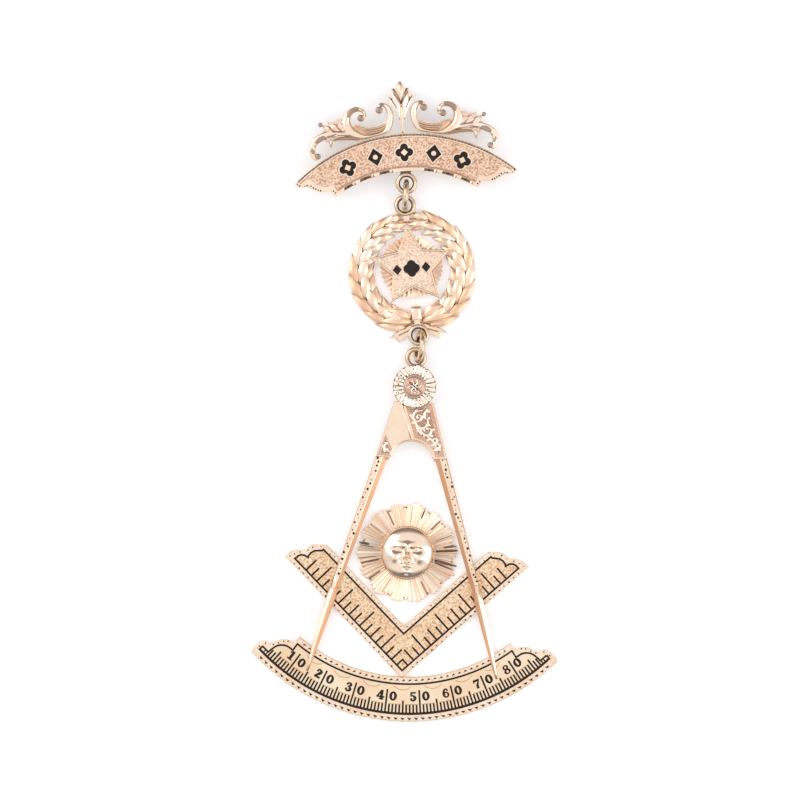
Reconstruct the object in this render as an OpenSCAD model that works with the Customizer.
// A masonic jewel of rose gold and black enamel, lying face up on a flat surface.
// A brooch bar with a pierced crest carries a laurel wreath with a star, and the wreath
// carries compasses that hold a sun and rest on a square and a quadrant.
// +Y runs up the jewel to the crest, and +Z rises from the surface that it lies on.

/* [Brooch plate] */
// Radius of the plate's upper edge
plate_outer_r = 28; // [26:0.1:30]
// Height of the plate between its two edges
plate_h = 6.3; // [5.9:0.1:6.8]
// Half of the plate's sweep at its tips, in degrees
plate_half_angle = 42.2; // [40:0.1:43]
// Half of the plate's sweep at its lower corners, in degrees
plate_corner_angle = 33.3; // [31:0.1:35]
// Thickness of the plate
plate_t = 1; // [0.8:0.05:1.3]
// Width of the polished border round the plate
plate_border = 0.85; // [0.6:0.05:1]
// Depth of the stippled field below the border
field_depth = 0.15; // [0.1:0.05:0.3]
// Height of the plate's back above the surface
brooch_stand = 3.2; // [3.1:0.05:3.6]
// Turn of the brooch on the surface, in degrees
brooch_tilt = 3.8; // [0:0.1:6]

/* [Plate ornaments] */
// Angle between two neighbouring ornaments, in degrees
motif_step = 11.4; // [11:0.1:12]
// Half of an ornament's height
motif_r = 1.75; // [1.4:0.05:1.8]
// Width of the raised outline round the enamel
motif_rim = 0.25; // [0.2:0.05:0.3]

/* [Crest] */
// Height of the crest above the plate's upper edge
crest_h = 9.1; // [8:0.1:10]
// Half of the crest's sweep, in degrees
crest_half_angle = 32.2; // [29:0.1:34]
// Thickness of the crest's scrolls
crest_t = 1; // [0.8:0.05:1.2]
// Metal width that the crest's tables give as shares
crest_w = 1; // [0.9:0.05:1.1]

/* [Pin] */
// Radius of the pin's wire
pin_r = 0.45; // [0.35:0.05:0.5]
// Distance of the hinge and of the catch from the middle of the bar
pin_half_span = 13; // [11:0.1:13.5]
// Distance of the pin from the plate's lower edge
pin_inset = 0.9; // [0.8:0.05:1.2]
// Length of the point that passes beyond the catch
pin_point = 2.6; // [2:0.1:2.8]

/* [Links] */
// Radius of a jump ring, to the middle of its wire
ring_r = 2.3; // [2.2:0.02:2.4]
// Radius of the jump ring's wire
ring_wire_r = 0.5; // [0.42:0.02:0.52]
// Radius of an eye, to the middle of its wire
eye_r = 1.46; // [1.44:0.02:1.6]
// Radius of the eye's wire
eye_wire_r = 0.4; // [0.36:0.02:0.44]
// Distance between the two eyes that the upper ring joins
top_link_span = 3.66; // [3.6:0.02:3.8]
// Distance between the two eyes that the lower ring joins
low_link_span = 3.88; // [3.86:0.02:4]
// Lean of the chain between brooch and wreath, in degrees
top_link_lean = 3.5; // [0:0.1:6]
// Lean of the chain between wreath and compasses, in degrees
low_link_lean = 7.2; // [0:0.1:9]

/* [Wreath] */
// Radius of the wreath to the middle of its leaves
wreath_r = 8.65; // [8.4:0.05:9]
// Half of the wreath's width
wreath_half_w = 1.75; // [1.6:0.05:1.9]
// Length of a laurel leaf
leaf_len = 4.5; // [3.8:0.1:5]
// Width of a laurel leaf
leaf_w = 1.8; // [1.4:0.05:2]
// Height of a leaf's ridge above the surface
leaf_h = 1.5; // [1.2:0.05:1.7]
// Distance of the upper eye from the wreath's rim
wreath_eye_lift = 0.86; // [0.7:0.02:1.1]
// Distance of the lower eye from the wreath's rim
wreath_foot_lift = 0.25; // [0.1:0.02:0.5]
// Turn of the wreath on the surface, in degrees
wreath_tilt = 6; // [0:0.1:8]

/* [Star] */
// Radius of the star's points
star_r = 7.1; // [6.8:0.1:7.3]
// Radius of the star's inner corners
star_inner_r = 3.5; // [3.1:0.1:3.8]
// Thickness of the star
star_t = 0.8; // [0.6:0.05:1]
// Width of the star's raised rim
star_rim = 0.3; // [0.2:0.05:0.4]
// Radius of the sunburst behind the star
burst_r = 4.9; // [4.4:0.1:5.2]

/* [Compasses] */
// Radius of the rosette at the hinge
rosette_r = 3.75; // [3.5:0.05:3.9]
// Distance of the compasses' eye from the rosette
neck = 1.08; // [1:0.02:1.4]
// Reach of the points below the hinge
leg_reach = 48.6; // [46:0.1:51]
// Half of the distance between the two points
leg_spread = 16.12; // [15.6:0.1:16.6]
// Half of the distance between the legs' outer edges where their needles begin
knee_half_w = 12.8; // [12.5:0.05:13.1]
// Half of the head's width at its top
head_half_w = 3.3; // [3.2:0.05:3.6]
// Distance of the head's lower edge from the hinge
head_drop = 12; // [11.4:0.1:12.6]
// Half of the width of the arch between the legs
arch_half_w = 3.5; // [3.2:0.05:3.8]
// Height of the arch between the legs
arch_h = 2.74; // [2.4:0.05:2.9]
// Width of a leg below the head
leg_top_w = 2.05; // [1.8:0.05:2.2]
// Width of a leg where its needle begins
leg_knee_w = 1.42; // [1.2:0.05:1.6]
// Length of the needle, measured down the jewel
needle_drop = 14; // [13:0.1:15]
// Thickness of the legs
leg_t = 1.25; // [1.1:0.05:1.4]
// Thickness of the head
head_t = 1.5; // [1.4:0.05:1.7]
// Turn of the compasses on the surface, in degrees
emblem_tilt = -2.5; // [-4:0.1:0]

/* [Sun] */
// Radius of the sun's longest rays
sun_r = 9.1; // [9:0.05:9.2]
// Radius of the sun's face
face_r = 4.55; // [4.2:0.05:4.8]
// Height of the face
face_h = 2.4; // [2:0.1:2.8]
// Thickness of the rays
ray_t = 0.65; // [0.5:0.05:0.7]

/* [Square] */
// Length of an arm along its lower edge
square_len = 28.5; // [27.5:0.1:29.5]
// Width of an arm
square_w = 6.35; // [6.2:0.05:6.5]
// Half of the angle between the arms, in degrees
square_half_angle = 46.15; // [45:0.05:46.5]
// Width of the border outside the enamel line
square_border = 0.94; // [0.7:0.02:1]
// Length of the ogee at the end of an arm
square_ogee = 3.5; // [3:0.1:4]
// Distance between two marks of the scale
square_pitch = 1.3; // [1.2:0.02:1.36]

/* [Quadrant] */
// Radius of the quadrant's lower edge
quad_outer_r = 35.8; // [35:0.1:37]
// Width of the quadrant
quad_w = 7.5; // [7.3:0.1:7.8]
// Half of the quadrant's sweep at its tips, in degrees
quad_half_angle = 46.5; // [45.8:0.1:47.2]
// Half of the quadrant's sweep at its upper corners, in degrees
quad_corner_angle = 39; // [38.4:0.1:39.6]
// Width of the border outside the lower enamel line
quad_border = 1.3; // [1.2:0.05:1.4]
// Share of the quadrant's width at which the points rest on it
quad_tip_share = 0.533; // [0.45:0.005:0.65]
// Turn of the quadrant about its own centre, in degrees
quad_turn = 0.65; // [0:0.05:1]

/* [Plates and enamel] */
// Thickness of the square and of the quadrant
flat_t = 0.9; // [0.7:0.05:0.9]
// Depth of the enamel
enamel_t = 0.25; // [0.2:0.05:0.35]
// Width of an enamel line
line_w = 0.26; // [0.22:0.01:0.3]
// Width of the quadrant's lower enamel line
base_line_w = 0.34; // [0.3:0.01:0.4]
// Gap round a piece that is set in or on another
seat_gap = 0.05; // [0.04:0.01:0.07]
// Gap between enamel and the metal round it
enamel_gap = 0.02; // [0.01:0.01:0.03]

/* [Hidden] */
$fn = 96;
gold = [0.93, 0.72, 0.6];
gold_pale = [0.96, 0.8, 0.7];
gold_deep = [0.85, 0.6, 0.48];
enamel_black = [0.05, 0.04, 0.05];
// Amount by which cuts run past a face
over = 1;

// Radii and heights of the brooch
plate_inner_r = plate_outer_r - plate_h;
brooch_top = brooch_stand + plate_t;
field_z = brooch_top - field_depth;
brooch_eye_y = plate_inner_r - eye_r - eye_wire_r - 0.2;
brooch_eye_z = brooch_stand + plate_t / 2;
pin_y = plate_inner_r + pin_inset;
catch_r = brooch_stand * 0.42;

// Heights of the pieces that lie on the surface
leg_z = flat_t + seat_gap;
leg_top = leg_z + leg_t;
head_top = leg_z + head_t;
rosette_z = head_top + seat_gap;
ray_z = leg_z - seat_gap - ray_t;
face_z = leg_z;
burst_z = 0.5;
burst_t = 0.7;
star_z = burst_z + burst_t + seat_gap;
eye_z = 1.62;

// The quadrant and the square follow the compasses' points
quad_inner_r = quad_outer_r - quad_w;
quad_tip_r = quad_inner_r + quad_tip_share * quad_w;
quad_y = -leg_reach + sqrt(quad_tip_r * quad_tip_r - leg_spread * leg_spread);
square_tuck = 0.25;
square_y = quad_y - quad_inner_r - square_tuck;
square_in_s = square_w / tan(square_half_angle);
line_in_s = square_border / tan(square_half_angle);

// The outer edge of a leg is straight, and its inner edge bends where the needle begins
shoulder_y = -3;
knee_y = needle_drop - leg_reach;
leg_slope = (knee_half_w - head_half_w) / (shoulder_y - knee_y);
function leg_outer_x(y) = head_half_w + (shoulder_y - y) * leg_slope;
function leg_w_at(y) =
    leg_top_w + (leg_knee_w - leg_top_w) * (-head_drop - y) / (-head_drop - knee_y);
function leg_inner_x(y) = leg_outer_x(y) - leg_w_at(y);
inner_slope = (leg_inner_x(knee_y) - leg_inner_x(-head_drop)) / (-head_drop - knee_y);
inner_angle = atan(inner_slope);

// The sun's rays pass this far below the legs
ray_lap = 0.35;
sun_y = -head_drop - ((sun_r - ray_lap) / cos(inner_angle) - leg_inner_x(-head_drop)) / inner_slope;

// Places of the hanging parts, from the middle of the plate's arc
function turn(p, a) = [p.x * cos(a) - p.y * sin(a), p.x * sin(a) + p.y * cos(a)];
function down(dist, lean) = [-dist * sin(lean), -dist * cos(lean)];
wreath_rim = wreath_r + wreath_half_w;
brooch_eye = turn([0, brooch_eye_y], brooch_tilt);
wreath_eye = brooch_eye + down(top_link_span, top_link_lean);
wreath_mid = wreath_eye + turn([0, -wreath_rim - wreath_eye_lift], wreath_tilt);
wreath_foot = wreath_mid + turn([0, -wreath_rim - wreath_foot_lift], wreath_tilt);
compass_eye = wreath_foot + down(low_link_span, low_link_lean);
hinge = compass_eye + turn([0, -rosette_r - neck], emblem_tilt);

// The origin lies on the surface, in the middle of the jewel's length and width
function quad_at(r, a) = [r * sin(a), -r * cos(a)];
quad_mid = hinge + turn([0, quad_y], emblem_tilt);
quad_far_r = quad_inner_r + 0.92 * quad_w;
left_x = (quad_mid + turn(quad_at(quad_far_r, -quad_half_angle), emblem_tilt + quad_turn)).x;
right_x = (quad_mid + turn(quad_at(quad_far_r, quad_half_angle), emblem_tilt + quad_turn)).x;
low_y = quad_mid.y - quad_outer_r;
crest_tip_y = turn([0, plate_outer_r + crest_h], brooch_tilt).y;
origin = [(left_x + right_x) / 2, (low_y + crest_tip_y) / 2];

module placed(at, tilt) {
    translate([at.x - origin.x, at.y - origin.y, 0]) rotate(tilt) children();
}
module in_brooch() { placed([0, 0], brooch_tilt) children(); }
module in_wreath() { placed(wreath_mid, wreath_tilt) children(); }
module in_emblem() { placed(hinge, emblem_tilt) children(); }
module in_quadrant() { placed(quad_mid, emblem_tilt + quad_turn) children(); }
module both_sides() {
    children();
    mirror([1, 0, 0]) children();
}

// A band between two radii
module annulus(r_in, r_out) {
    difference() {
        circle(r = r_out);
        circle(r = r_in);
    }
}

// A wire ring that lies flat
module wire_ring(r, wire) {
    rotate_extrude() translate([r, 0]) circle(r = wire, $fn = 24);
}

// A thin bar from one point to another
module bar(p, q, w) {
    d = q - p;
    translate(p) rotate(atan2(d.y, d.x)) translate([-w / 2, -w / 2]) square([norm(d) + w, w]);
}
module line_through(points, w) {
    for (i = [0 : len(points) - 2]) bar(points[i], points[i + 1], w);
}

// Brooch plate

// The plate's end, from its lower corner to its tip: share of the height, share of the overhang
PLATE_END = [[0, 0], [0.143, 0.02], [0.222, 0.09], [0.286, 0.26], [0.341, 0.404], [0.397, 0.506],
    [0.516, 0.596], [0.619, 0.652], [0.714, 0.697], [0.762, 0.8], [0.8, 0.9], [0.857, 0.99], [1, 1]];

function plate_at(r, a) = [r * sin(a), r * cos(a)];
function plate_end(inset) = [for (row = PLATE_END)
    let (r = plate_inner_r + row[0] * plate_h,
        a = plate_corner_angle + row[1] * (plate_half_angle - plate_corner_angle))
    plate_at(r, a - inset / r * 180 / PI)];
function mirrored(points) = [for (i = [len(points) - 1 : -1 : 0]) [-points[i].x, points[i].y]];

module plate_outline(inset = 0) {
    end = plate_end(inset);
    beyond = 2 * end[len(end) - 1];
    edge = concat([0.5 * end[0]], end, [beyond]);
    intersection() {
        annulus(plate_inner_r + inset, plate_outer_r - inset);
        polygon(concat(edge, mirrored(edge)));
    }
}

module lozenge(r) { polygon([[0, r], [0.86 * r, 0], [0, -r], [-0.86 * r, 0]]); }
module quatrefoil(r) {
    for (k = [0 : 3]) rotate(90 * k) translate([0, 0.48 * r]) circle(r = 0.52 * r);
}

// Five ornaments follow the plate's arc, lozenges between quatrefoils
module plate_motifs(shrink) {
    for (k = [-2 : 2]) rotate(-k * motif_step) translate([0, plate_inner_r + 0.5 * plate_h])
        if (k % 2 == 0) quatrefoil(motif_r - shrink);
        else lozenge(1.06 * motif_r - 1.3 * shrink);
}

// The enamel surrounds a small island of metal in each ornament
island_r = 0.42;
module plate_pockets(extra) {
    difference() {
        plate_motifs(motif_rim + enamel_gap - extra);
        for (k = [-2 : 2]) rotate(-k * motif_step) translate([0, plate_inner_r + 0.5 * plate_h])
            if (k % 2 == 0) rotate(45) square(2 * (island_r - extra), center = true);
            else circle(r = island_r - extra);
    }
}

module hinge_lugs() {
    for (side = [-1, 1]) translate([-pin_half_span, pin_y + side * 0.95, 0]) rotate([90, 0, 0]) {
        translate([0, catch_r, -0.25]) cylinder(r = catch_r, h = 0.5);
        translate([-catch_r, catch_r, -0.25])
            cube([2 * catch_r, brooch_stand - catch_r + 0.2, 0.5]);
    }
}

module catch_hook() {
    translate([pin_half_span - 0.8, pin_y, catch_r]) rotate([90, 0, 90]) difference() {
        union() {
            cylinder(r = catch_r, h = 1.6);
            translate([-0.5, 0.7 * catch_r, 0]) cube([1, brooch_stand - 1.7 * catch_r + 0.2, 1.6]);
        }
        translate([0, 0, -over]) cylinder(r = pin_r + 0.25, h = 1.6 + 2 * over);
        translate([0, -pin_r - 0.1, -over]) cube([catch_r + over, 2 * pin_r + 0.2, 1.6 + 2 * over]);
    }
}

module plate() {
    color(gold) in_brooch() {
        difference() {
            translate([0, 0, brooch_stand]) linear_extrude(plate_t) plate_outline();
            translate([0, 0, field_z]) linear_extrude(over) difference() {
                plate_outline(plate_border);
                plate_motifs(0);
            }
            translate([0, 0, brooch_top - enamel_t - enamel_gap]) linear_extrude(over)
                plate_pockets(enamel_gap);
        }
        translate([0, brooch_eye_y, brooch_eye_z]) wire_ring(eye_r, eye_wire_r);
        translate([-0.9, brooch_eye_y + eye_r - 0.1, brooch_stand + 0.15])
            cube([1.8, plate_inner_r - brooch_eye_y - eye_r + 0.4, plate_t - 0.35]);
        hinge_lugs();
        catch_hook();
    }
}

module plate_enamel() {
    color(enamel_black) in_brooch() translate([0, 0, brooch_top - enamel_t])
        linear_extrude(enamel_t) plate_pockets(0);
}

// One plain wire: its knuckle lies between the lugs, and its point lies in the catch
module pin_stem() {
    straight = 2 * pin_half_span + 0.5;
    color(gold_deep) in_brooch() translate([-pin_half_span, pin_y, catch_r]) {
        rotate([90, 0, 0]) translate([0, 0, seat_gap - 0.7])
            cylinder(r = catch_r - 0.3, h = 1.4 - 2 * seat_gap);
        rotate([0, 90, 0]) cylinder(r = pin_r, h = straight);
        translate([straight, 0, 0]) rotate([0, 90, 0])
            cylinder(r1 = pin_r, r2 = 0.08, h = pin_point - 0.5);
    }
}

// Crest

// A crest point: share of the sweep and share of the height above the plate's edge
function crest_at(a, h) = plate_at(plate_outer_r + h * crest_h, a * crest_half_angle);

// The scrolls and stems of one side: share of the sweep, share of the height, share of crest_w
SCROLL_INNER = [[0.3, 0.1, 1.2], [0.225, 0.11, 1.3], [0.175, 0.15, 1.35], [0.138, 0.22, 1.3],
    [0.117, 0.31, 1.2], [0.113, 0.4, 1.15], [0.122, 0.49, 1], [0.145, 0.555, 0.85],
    [0.175, 0.58, 0.7], [0.203, 0.56, 0.6], [0.216, 0.51, 0.5]];
SCROLL_OUTER = [[0.3, 0.1, 1.2], [0.36, 0.09, 1.3], [0.43, 0.11, 1.4], [0.485, 0.165, 1.55],
    [0.525, 0.245, 1.65], [0.543, 0.345, 1.65], [0.535, 0.45, 1.45], [0.505, 0.54, 1.2],
    [0.463, 0.595, 0.95], [0.42, 0.605, 0.75], [0.38, 0.585, 0.65], [0.352, 0.53, 0.6],
    [0.346, 0.46, 0.5], [0.365, 0.4, 0.5]];
BELLY = [[0.15, 0.16, 1.3], [0.22, 0.155, 1.75], [0.3, 0.16, 1.85], [0.37, 0.18, 1.7],
    [0.415, 0.225, 0.8]];
TAIL = [[0.53, 0.2, 0.9], [0.6, 0.27, 1.15], [0.67, 0.33, 1.25], [0.745, 0.375, 1.1],
    [0.81, 0.385, 1.15], [0.865, 0.375, 1.15], [0.912, 0.34, 1.05], [0.947, 0.27, 1],
    [0.963, 0.19, 0.85], [0.97, 0.12, 0.7], [0.955, 0.075, 0.55]];
LOWER_STEM = [[0.419, 0.055, 0.6], [0.5, 0.085, 0.7], [0.58, 0.15, 0.75], [0.655, 0.21, 0.8],
    [0.73, 0.25, 0.7], [0.786, 0.3, 0.4]];

// The leaves of one side: root, belly and tip, each as sweep and height, then the belly's width
CREST_LEAVES = [
    [[0.56, 0.27], [0.597, 0.39], [0.605, 0.545], 1.15],
    [[0.6, 0.28], [0.652, 0.43], [0.69, 0.59], 1.3],
    [[0.65, 0.3], [0.712, 0.45], [0.748, 0.58], 1.1],
    [[0.6, 0.27], [0.7, 0.335], [0.765, 0.315], 1.3],
    [[0.71, 0.28], [0.75, 0.205], [0.778, 0.09], 0.75]];

// The curls' ends: sweep, height, radius
CREST_KNOBS = [[0.207, 0.487, 0.6], [0.391, 0.42, 0.56], [0.932, 0.11, 0.52], [0.757, 0.59, 0.38]];

// The fan's outline on one side: sweep and height
FAN = [[0.014, 0], [0.014, 0.2], [0.02, 0.32], [0.034, 0.44], [0.058, 0.54], [0.098, 0.64],
    [0.146, 0.745], [0.118, 0.712], [0.102, 0.7], [0.1, 0.752], [0.086, 0.745], [0.079, 0.8],
    [0.072, 0.855], [0.052, 0.822], [0.036, 0.842], [0.034, 0.9], [0.015, 0.935]];

module fan_outline() {
    side = [for (p = FAN) crest_at(p[0], p[1])];
    polygon(concat(side, [crest_at(0, 1)],
        [for (i = [len(side) - 1 : -1 : 0]) [-side[i].x, side[i].y]]));
}

module stud(p, w, h) {
    translate([p.x, p.y, brooch_stand + 0.5 * (plate_t - crest_t)])
        cylinder(r1 = crest_w * w / 2, r2 = 0.22 * crest_w * w, h = h, $fn = 8);
}

module scroll(rows) {
    for (i = [0 : len(rows) - 2]) hull() {
        stud(crest_at(rows[i][0], rows[i][1]), rows[i][2], crest_t);
        stud(crest_at(rows[i + 1][0], rows[i + 1][1]), rows[i + 1][2], crest_t);
    }
}

module crest_leaf(row) {
    hull() {
        stud(crest_at(row[0][0], row[0][1]), 0.5, 0.8 * crest_t);
        stud(crest_at(row[1][0], row[1][1]), row[3], 1.1 * crest_t);
    }
    hull() {
        stud(crest_at(row[1][0], row[1][1]), row[3], 1.1 * crest_t);
        stud(crest_at(row[2][0], row[2][1]), 0.16, 0.5 * crest_t);
    }
}

module crest() {
    color(gold_pale) in_brooch() difference() {
        union() {
            both_sides() {
                scroll(SCROLL_INNER);
                scroll(SCROLL_OUTER);
                scroll(TAIL);
                scroll(LOWER_STEM);
                scroll(BELLY);
                for (row = CREST_LEAVES) crest_leaf(row);
                for (row = CREST_KNOBS) stud(crest_at(row[0], row[1]), 2 * row[2], 1.25 * crest_t);
            }
            translate([0, 0, brooch_stand + 0.5 * (plate_t - crest_t)])
                linear_extrude(0.85 * crest_t) fan_outline();
            hull() {
                stud(crest_at(0, 0.42), 0.5, crest_t);
                stud(crest_at(0, 0.78), 1.15, 1.2 * crest_t);
            }
            hull() {
                stud(crest_at(0, 0.78), 1.15, 1.2 * crest_t);
                stud(crest_at(0, 0.95), 0.3, 0.9 * crest_t);
            }
        }
        translate([0, 0, brooch_stand - over])
            cylinder(r = plate_outer_r + seat_gap, h = plate_t + 2 * over + crest_t);
    }
}

// Jump rings

// A ring that stands on its rim across two eyes: its lean from upright, and its shift aside
module standing_ring(eye, reach, chain_lean, lean, aside) {
    placed(eye + down(reach, chain_lean), -chain_lean)
        translate([aside, 0, ring_r * cos(lean) + ring_wire_r + 0.03])
        rotate([0, 90 + lean, 0]) wire_ring(ring_r, ring_wire_r);
}

module jump_ring_top() {
    color(gold_pale) standing_ring(brooch_eye, 0.533 * top_link_span, top_link_lean, 0, 0);
}

module jump_ring_low() {
    color(gold_pale) standing_ring(wreath_foot, 0.5 * low_link_span, low_link_lean, 12, 0.4);
}

// Wreath

// The three leaves of a sprig: shift from the stem as a share of the half width, splay in degrees,
// lift of the leaf as a share of its height
SPRIG = [[0.46, 5, 0], [-0.46, -28, 0], [0, -9, 0.2]];
sprig_step = 17;
sprig_first = 15;
// The leaves grow smaller towards the eye
top_size = 0.62;
function size_at(a) = a < 90 ? 1 : 1 - (1 - top_size) * (a - 90) / 90;

module laurel_leaf(length, w, lift) {
    hull() {
        translate([0, 0, lift]) cylinder(r1 = 0.2 * w, r2 = 0.06 * w, h = 0.6 * leaf_h, $fn = 4);
        translate([0.45 * length, 0, lift]) cylinder(r1 = 0.5 * w, r2 = 0.06, h = leaf_h, $fn = 6);
        translate([length - 0.06, 0, lift + 0.3]) cylinder(r1 = 0.06, r2 = 0.03, h = 0.4, $fn = 3);
    }
}

// The sprigs of one side climb from the ribbon to the eye
module wreath_side() {
    for (a = [sprig_first : sprig_step : 160], row = SPRIG)
        let (size = size_at(a))
        rotate(a - 90) translate([wreath_r + row[0] * wreath_half_w * size, 0, 0])
            rotate(90 - row[1]) translate([-0.2 * leaf_len, 0, 0])
            laurel_leaf(leaf_len * size, leaf_w * size, row[2] * leaf_h);
}

// The long leaves and the ribbon's tail at one side of the wreath's foot: start, direction in
// degrees, length and width as shares of the leaf's
FOOT_LEAVES = [[[0.8, -7.9], 18, 1.2, 1], [[0.8, -8.5], 7, 1.4, 0.9]];

module ribbon_tail() {
    linear_extrude(0.6) polygon([[0.2, -8.6], [1.6, -9.2], [3.2, -9.8], [5, -10.75], [3.85, -10.4],
        [3.5, -11.55], [2.3, -10.7], [1.2, -10.1], [0.2, -9.9]]);
}

// The ribbon's band and the lugs that carry the eyes
band_w = 1.6;
band_h = 2.7;
lug_w = 1;

module wreath() {
    color(gold) in_wreath() {
        both_sides() {
            wreath_side();
            for (row = FOOT_LEAVES)
                translate(row[0]) rotate(row[1]) laurel_leaf(row[2] * leaf_len, row[3] * leaf_w, 0);
            ribbon_tail();
        }
        rotate_extrude($fn = 48) translate([wreath_r - 0.4, 0]) square([0.8, 0.6]);
        translate([-band_w / 2, -0.82 * wreath_r - band_h / 2, 0]) cube([band_w, band_h, 2]);
        translate([-lug_w / 2, wreath_rim + wreath_eye_lift - eye_r - 1.2, 0.6])
            cube([lug_w, 1.1, eye_z - 0.4]);
        translate([-lug_w / 2, -wreath_rim - wreath_foot_lift + eye_r, 0.3])
            cube([lug_w, 1.3, eye_z - 0.2]);
        for (y = [wreath_rim + wreath_eye_lift, -wreath_rim - wreath_foot_lift])
            translate([0, y, eye_z]) wire_ring(eye_r, eye_wire_r, $fn = 32);
    }
}

// Star and sunburst

function star_points(r_out, r_in) =
    [for (k = [0 : 9]) let (r = k % 2 == 0 ? r_out : r_in) [r * sin(36 * k), r * cos(36 * k)]];

// Distance between a star's outline and the same outline moved in by one unit, at its points
star_edge = norm(star_points(star_r, star_inner_r)[1] - star_points(star_r, star_inner_r)[0]);
star_sink = star_rim * star_edge / (star_inner_r * sin(36));

module star_shape(sink = 0) {
    polygon(star_points(star_r - sink, star_inner_r * (1 - sink / star_r)));
}

star_y = 0.1 * wreath_r;
star_motif_r = 1.4;
star_motif_lift = -0.25;

module star_motifs(shrink) {
    translate([0, star_motif_lift]) quatrefoil(star_motif_r - shrink);
    for (side = [-1, 1]) translate([1.74 * star_motif_r * side, star_motif_lift])
        lozenge(0.64 * star_motif_r - shrink);
}

module star() {
    color(gold) in_wreath() translate([0, star_y, star_z]) difference() {
        linear_extrude(star_t) star_shape();
        translate([0, 0, star_t - field_depth]) linear_extrude(over) star_shape(star_sink);
        translate([0, 0, star_t - field_depth - enamel_t - enamel_gap]) linear_extrude(over)
            star_motifs(0);
    }
}

module star_enamel() {
    color(enamel_black) in_wreath()
        translate([0, star_y, star_z + star_t - field_depth - enamel_t])
        linear_extrude(enamel_t) star_motifs(enamel_gap);
}

// A disc of ridged rays: radius of ridge number k given by far(k), the flat middle's radius, the
// number of ridges, the thickness at the ridges and the depth of the furrows
module ray_disc(tips, flat_r, thick, furrow) {
    n = len(tips);
    step = 180 / n;
    inner = [for (i = [0 : 2 * n - 1])
        [flat_r * sin(step * i), flat_r * cos(step * i), i % 2 == 0 ? thick : thick - furrow]];
    rim = [for (i = [0 : 2 * n - 1])
        let (r = i % 2 == 0 ? tips[i / 2] : 0.975 * min(tips[(i - 1) / 2], tips[((i + 1) / 2) % n]))
        [r * sin(step * i), r * cos(step * i), i % 2 == 0 ? 0.75 * thick : thick - 1.4 * furrow]];
    under = [for (p = rim) [p.x, p.y, 0]];
    top_mid = [0, 0, thick - furrow / 2];
    m = 2 * n;
    faces = concat(
        [for (i = [0 : m - 1]) [3 * m, (i + 1) % m, i]],
        [for (i = [0 : m - 1]) [i, (i + 1) % m, m + i]],
        [for (i = [0 : m - 1]) [(i + 1) % m, m + (i + 1) % m, m + i]],
        [for (i = [0 : m - 1]) [m + i, m + (i + 1) % m, 2 * m + i]],
        [for (i = [0 : m - 1]) [m + (i + 1) % m, 2 * m + (i + 1) % m, 2 * m + i]],
        [[for (i = [0 : m - 1]) 2 * m + i]]);
    polyhedron(points = concat(inner, rim, under, [top_mid]),
        faces = [for (f = faces) [for (i = [len(f) - 1 : -1 : 0]) f[i]]]);
}

module sunburst() {
    color(gold_deep) in_wreath() translate([0, star_y, burst_z])
        ray_disc([for (k = [0 : 39]) burst_r * (k % 2 == 0 ? 1 : 0.93)], 0.35 * burst_r, burst_t, 0.2);
}

// Compasses

module leg_outline() {
    polygon([[leg_outer_x(-head_drop + 1), -head_drop + 1], [leg_outer_x(knee_y), knee_y],
        [leg_inner_x(knee_y), knee_y], [leg_inner_x(-head_drop + 1), -head_drop + 1]]);
}

// The inner edge of a leg is cut back to a long facet
leg_facet = 0.55;

module leg() {
    leg_run = (-head_drop - knee_y) / cos(inner_angle);
    difference() {
        translate([0, 0, leg_z]) linear_extrude(leg_t) leg_outline();
        translate([leg_inner_x(-head_drop), -head_drop, leg_top - leg_facet])
            rotate(inner_angle) rotate([0, -45, 0]) translate([-2, -leg_run - over, 0])
            cube([2, leg_run, 2]);
    }
    needle();
}

// The needle is a cone whose root lies in the leg
module needle() {
    root_r = 0.96 * leg_knee_w / 2;
    tip_r = 0.14;
    from = [leg_outer_x(knee_y) - leg_knee_w / 2, knee_y, leg_z + 0.5 * leg_t];
    to = [leg_spread - tip_r, -leg_reach, leg_z + tip_r];
    d = to - from;
    intersection() {
        translate(from) rotate([0, acos(d.z / norm(d)), atan2(d.y, d.x)])
            translate([0, 0, -0.6]) cylinder(r1 = root_r, r2 = tip_r, h = norm(d) + 0.6);
        translate([0, -leg_reach - over, leg_z]) cube([leg_reach, leg_reach, leg_t - 0.02]);
    }
}

arch_r = (arch_half_w * arch_half_w + arch_h * arch_h) / (2 * arch_h);
arch_y = -head_drop + arch_h - arch_r;
// The seam between the two heads runs from the rosette to the arch
seam_top = [-0.58 * head_half_w, shoulder_y];
seam_foot = [-0.1, -head_drop + arch_h];
head_rim = 0.4;

module head_outline() {
    difference() {
        polygon([[-head_half_w, shoulder_y], [head_half_w, shoulder_y],
            [leg_outer_x(-head_drop), -head_drop], [-leg_outer_x(-head_drop), -head_drop]]);
        translate([0, arch_y]) circle(r = arch_r);
    }
}

// The engraved head's field lies inside a rim
module head_field() {
    foot_x = leg_outer_x(-head_drop);
    translate([0, 0, head_top - field_depth]) linear_extrude(over) difference() {
        polygon([seam_top + [head_rim, 0], [head_half_w - head_rim, shoulder_y],
            [foot_x - head_rim - 0.1, -head_drop + head_rim],
            [seam_foot.x + head_rim, -head_drop + head_rim], seam_foot + [head_rim, 0]]);
        translate([0, arch_y]) circle(r = arch_r + head_rim);
    }
}

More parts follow.
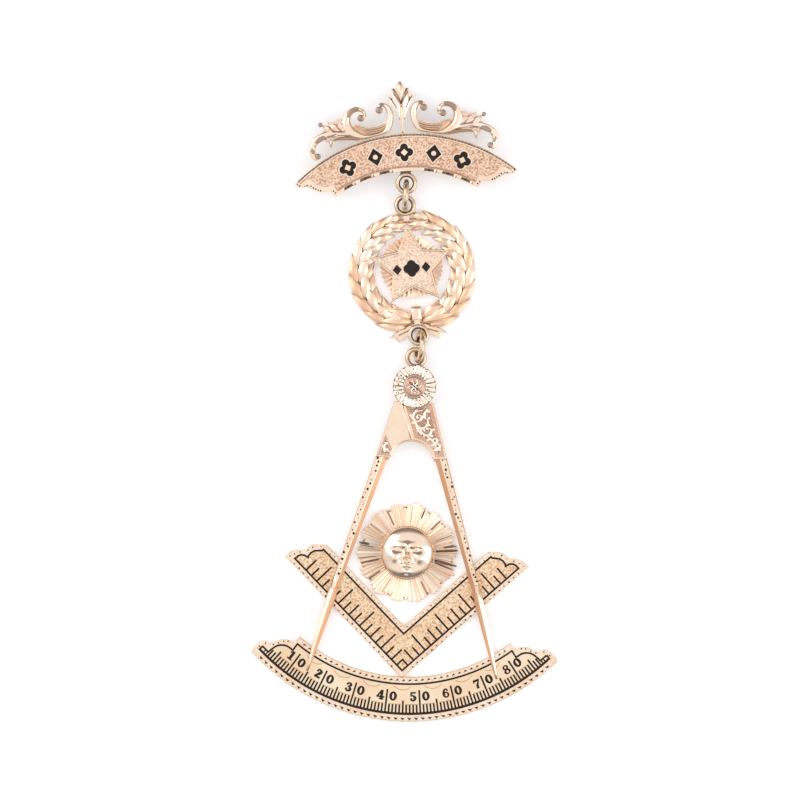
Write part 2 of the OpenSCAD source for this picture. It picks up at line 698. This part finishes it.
module compasses() {
    color(gold_pale) in_emblem() {
        difference() {
            union() {
                translate([0, 0, leg_z]) linear_extrude(head_t) head_outline();
                translate([0, 0, leg_z]) cylinder(r = 0.94 * rosette_r, h = head_t);
            }
            head_field();
            translate([0, 0, head_top - 0.25]) linear_extrude(over)
                line_through([seam_top, seam_foot + [0, -1]], 0.2);
        }
        both_sides() leg();
        translate([0, rosette_r + neck, eye_z]) wire_ring(eye_r, eye_wire_r);
        translate([-0.7, 0.8 * rosette_r, eye_z - 0.4]) cube([1.4, 0.2 * rosette_r + neck - eye_r, 0.8]);
    }
}

petals = 24;
petal_r = 0.42;

module rosette() {
    color(gold_pale) in_emblem() translate([0, 0, rosette_z]) {
        difference() {
            linear_extrude(0.75) {
                circle(r = rosette_r - petal_r);
                for (k = [0 : petals - 1]) rotate(360 / petals * k)
                    translate([rosette_r - petal_r, 0]) circle(r = petal_r, $fn = 24);
            }
            for (k = [0 : petals - 1]) rotate(360 / petals * (k + 0.5))
                translate([0.52 * rosette_r, -0.07, 0.5]) cube([rosette_r, 0.14, over]);
            translate([0, 0, 0.45]) cylinder(r = 0.5 * rosette_r, h = over);
        }
        cylinder(r = 0.42 * rosette_r, h = 0.7);
    }
}

// Sun

rays_in_bundle = 5;
bundles = 14;
// How far each ray of a bundle falls short of the sun's radius
BUNDLE_DIP = [0.1, 0.06, 0.04, 0.055, 0.09];

module sun_rays() {
    tips = [for (k = [0 : rays_in_bundle * bundles - 1])
        sun_r * (1 - BUNDLE_DIP[k % rays_in_bundle] - ((floor(k / rays_in_bundle)) % 2 == 0 ? 0 : 0.02))];
    color(gold) in_emblem() translate([0, sun_y, ray_z])
        ray_disc(tips, face_r, ray_t, 0.22);
}

// The face's forms: place right and up, spread right and up, height, all as shares of its radius.
// A form off the middle line is there on both sides.
FACE_FORMS = [
    [0, 0.3, 0.5, 0.13, 0.06],
    [0.34, 0.14, 0.17, 0.1, -0.1],
    [0.34, 0.13, 0.1, 0.06, 0.06],
    [0, 0.02, 0.08, 0.24, 0.11],
    [0, -0.16, 0.13, 0.1, 0.1],
    [0.48, -0.2, 0.2, 0.18, 0.08],
    [0, -0.4, 0.2, 0.055, 0.06],
    [0, -0.53, 0.16, 0.05, 0.055],
    [0, -0.465, 0.24, 0.03, -0.05],
    [0, -0.76, 0.16, 0.12, 0.07]];

function hump(u, v, row) =
    row[4] * (exp(-pow((u - row[0]) / row[2], 2) - pow((v - row[1]) / row[3], 2))
        + (row[0] == 0 ? 0 : exp(-pow((u + row[0]) / row[2], 2) - pow((v - row[1]) / row[3], 2))));
function sum_forms(u, v, k = 0) =
    k == len(FACE_FORMS) ? 0 : hump(u, v, FACE_FORMS[k]) + sum_forms(u, v, k + 1);
function face_height(u, v) =
    let (q = min(1, u * u + v * v))
    0.12 * face_h + (0.88 * face_h) * sqrt(1 - 0.98 * q) * 0.85 + face_r * sum_forms(u, v) * (1 - q * q);

module sun_face() {
    rings = 11;
    around = 32;
    top = [for (i = [1 : rings], j = [0 : around - 1])
        let (u = i / rings * sin(360 / around * j), v = i / rings * cos(360 / around * j))
        [face_r * u, face_r * v, face_height(u, v)]];
    under = [for (j = [0 : around - 1])
        [face_r * sin(360 / around * j), face_r * cos(360 / around * j), 0]];
    mid = len(top) + around;
    last = (rings - 1) * around;
    faces = concat(
        [for (j = [0 : around - 1]) [mid, j, (j + 1) % around]],
        [for (i = [0 : rings - 2], j = [0 : around - 1])
            [i * around + j, (i + 1) * around + j, i * around + (j + 1) % around]],
        [for (i = [0 : rings - 2], j = [0 : around - 1])
            [(i + 1) * around + j, (i + 1) * around + (j + 1) % around,
                i * around + (j + 1) % around]],
        [for (j = [0 : around - 1]) [last + j, len(top) + j, last + (j + 1) % around]],
        [for (j = [0 : around - 1])
            [len(top) + j, len(top) + (j + 1) % around, last + (j + 1) % around]],
        [[for (j = [around - 1 : -1 : 0]) len(top) + j]]);
    color(gold_pale) in_emblem() translate([0, sun_y, face_z])
        polyhedron(points = concat(top, under, [[0, 0, face_height(0, 0)]]), faces = faces);
}

// Square

// The end of an arm, from its lower edge to its upper edge: share of the width, share of the ogee
ARM_END = [[0, 0], [0.2, 0.06], [0.32, 0.14], [0.41, 0.28], [0.46, 0.46], [0.54, 0.48], [0.64, 0.48],
    [0.75, 0.54], [0.85, 0.7], [0.93, 0.88], [1, 1]];
// The enamel line follows it inside the border
ARM_LINE = [[0.143, 0.43], [0.25, 0.44], [0.33, 0.5], [0.387, 0.63], [0.415, 0.83], [0.46, 0.78],
    [0.56, 0.76], [0.66, 0.81], [0.75, 0.95], [0.81, 1.05], [0.857, 1.06]];

function arm_at(row) = [square_len - row[1] * square_ogee, row[0] * square_w];

function on_arm(p) = turn(p, 90 - square_half_angle);

module square_outline() {
    end = [for (row = ARM_END) on_arm(arm_at(row))];
    polygon(concat([[0, 0]], end, [on_arm([square_in_s, square_w])], mirrored(end)));
}

// Lengths of the marks, by their number along the arm
MARKS = [3.3, 1.65, 2.25, 1.65];

module arm_enamel(extra) {
    w = line_w + extra;
    low = square_border;
    high = square_w - square_border;
    line_through(concat([[line_in_s, low]], [for (row = ARM_LINE) arm_at(row)],
        [[high / tan(square_half_angle), high]]), w);
    marks = floor((square_len - line_in_s - 1.15 * square_ogee) / square_pitch);
    for (k = [1 : marks])
        bar([line_in_s + square_pitch * k, low],
            [line_in_s + square_pitch * k, low + (k == 1 ? square_pitch : MARKS[k % 4])], w);
}

module in_square() { translate([0, square_y]) both_sides() rotate(90 - square_half_angle) children(); }

// The square's corner ends on the quadrant's upper edge
module set_square() {
    color(gold) in_emblem() difference() {
        linear_extrude(flat_t) intersection() {
            translate([0, square_y]) square_outline();
            translate([0, quad_y]) circle(r = quad_inner_r - seat_gap);
        }
        translate([0, 0, flat_t - enamel_t - enamel_gap]) linear_extrude(over)
            in_square() arm_enamel(2 * enamel_gap);
    }
}

module set_square_enamel() {
    color(enamel_black) in_emblem() translate([0, 0, flat_t - enamel_t])
        linear_extrude(enamel_t) in_square() arm_enamel(0);
}

// Quadrant

// The end of the quadrant, from its upper corner to its tip: share of the width, share of the sweep
// between the corner and the tip
QUAD_END = [[0, 0], [0.187, -0.013], [0.2, 0.133], [0.24, 0.293], [0.307, 0.44], [0.387, 0.547],
    [0.48, 0.627], [0.587, 0.667], [0.6, 0.907], [0.64, 0.973], [0.76, 1], [0.92, 1], [1, 0.947]];
// The enamel line follows it inside the border
QUAD_LINE = [[0.16, -0.167], [0.333, -0.187], [0.337, -0.067], [0.343, 0.067], [0.371, 0.2],
    [0.413, 0.3], [0.467, 0.387], [0.533, 0.44], [0.627, 0.473], [0.733, 0.493], [0.733, 0.76],
    [0.753, 0.8], [0.827, 0.8]];

function quad_row(row) = quad_at(quad_inner_r + row[0] * quad_w,
    quad_corner_angle + row[1] * (quad_half_angle - quad_corner_angle));

module quad_outline() {
    end = [for (row = QUAD_END) quad_row(row)];
    edge = concat([0.5 * end[0]], end, [2 * end[len(end) - 1]]);
    intersection() {
        annulus(quad_inner_r, quad_outer_r);
        polygon(concat(edge, mirrored(edge)));
    }
}

// A line along the arc, out to a given angle on both sides
module arc_line(r, half_angle, w) {
    intersection() {
        annulus(r - w / 2, r + w / 2);
        polygon([[0, 0], quad_at(2 * r, half_angle), quad_at(2 * r, -half_angle)]);
    }
}

base_line_r = quad_outer_r - quad_border;
top_line_r = quad_inner_r + 0.16 * quad_w;
end_sweep = quad_half_angle - quad_corner_angle;
// How far the marks reach inward: units, fives and tens
UNIT_MARK = 1.35;
FIVE_MARK = 2.05;
TEN_MARK = 3.8;
last_mark = floor(quad_corner_angle + 0.45 * end_sweep);

function mark_len(k) = abs(k) % 10 == 5 ? TEN_MARK : k % 5 == 0 ? FIVE_MARK : UNIT_MARK;

module quad_enamel(extra) {
    arc_line(base_line_r, quad_corner_angle + 0.8 * end_sweep, base_line_w + extra);
    arc_line(top_line_r, quad_corner_angle - 0.167 * end_sweep, line_w + extra);
    both_sides() line_through([for (row = QUAD_LINE) quad_row(row)], line_w + extra);
    for (k = [-last_mark : last_mark])
        bar(quad_at(base_line_r, k), quad_at(base_line_r - mark_len(k), k), line_w + extra);
}

module quadrant() {
    color(gold) in_quadrant() difference() {
        linear_extrude(flat_t) quad_outline();
        translate([0, 0, flat_t - enamel_t - enamel_gap]) linear_extrude(over)
            quad_enamel(2 * enamel_gap);
    }
}

module quadrant_enamel() {
    color(enamel_black) in_quadrant() translate([0, 0, flat_t - enamel_t])
        linear_extrude(enamel_t) quad_enamel(0);
}

plate();
plate_enamel();
crest();
pin_stem();
jump_ring_top();
wreath();
sunburst();
star();
star_enamel();
jump_ring_low();
compasses();
rosette();
sun_rays();
sun_face();
set_square();
set_square_enamel();
quadrant();
quadrant_enamel();
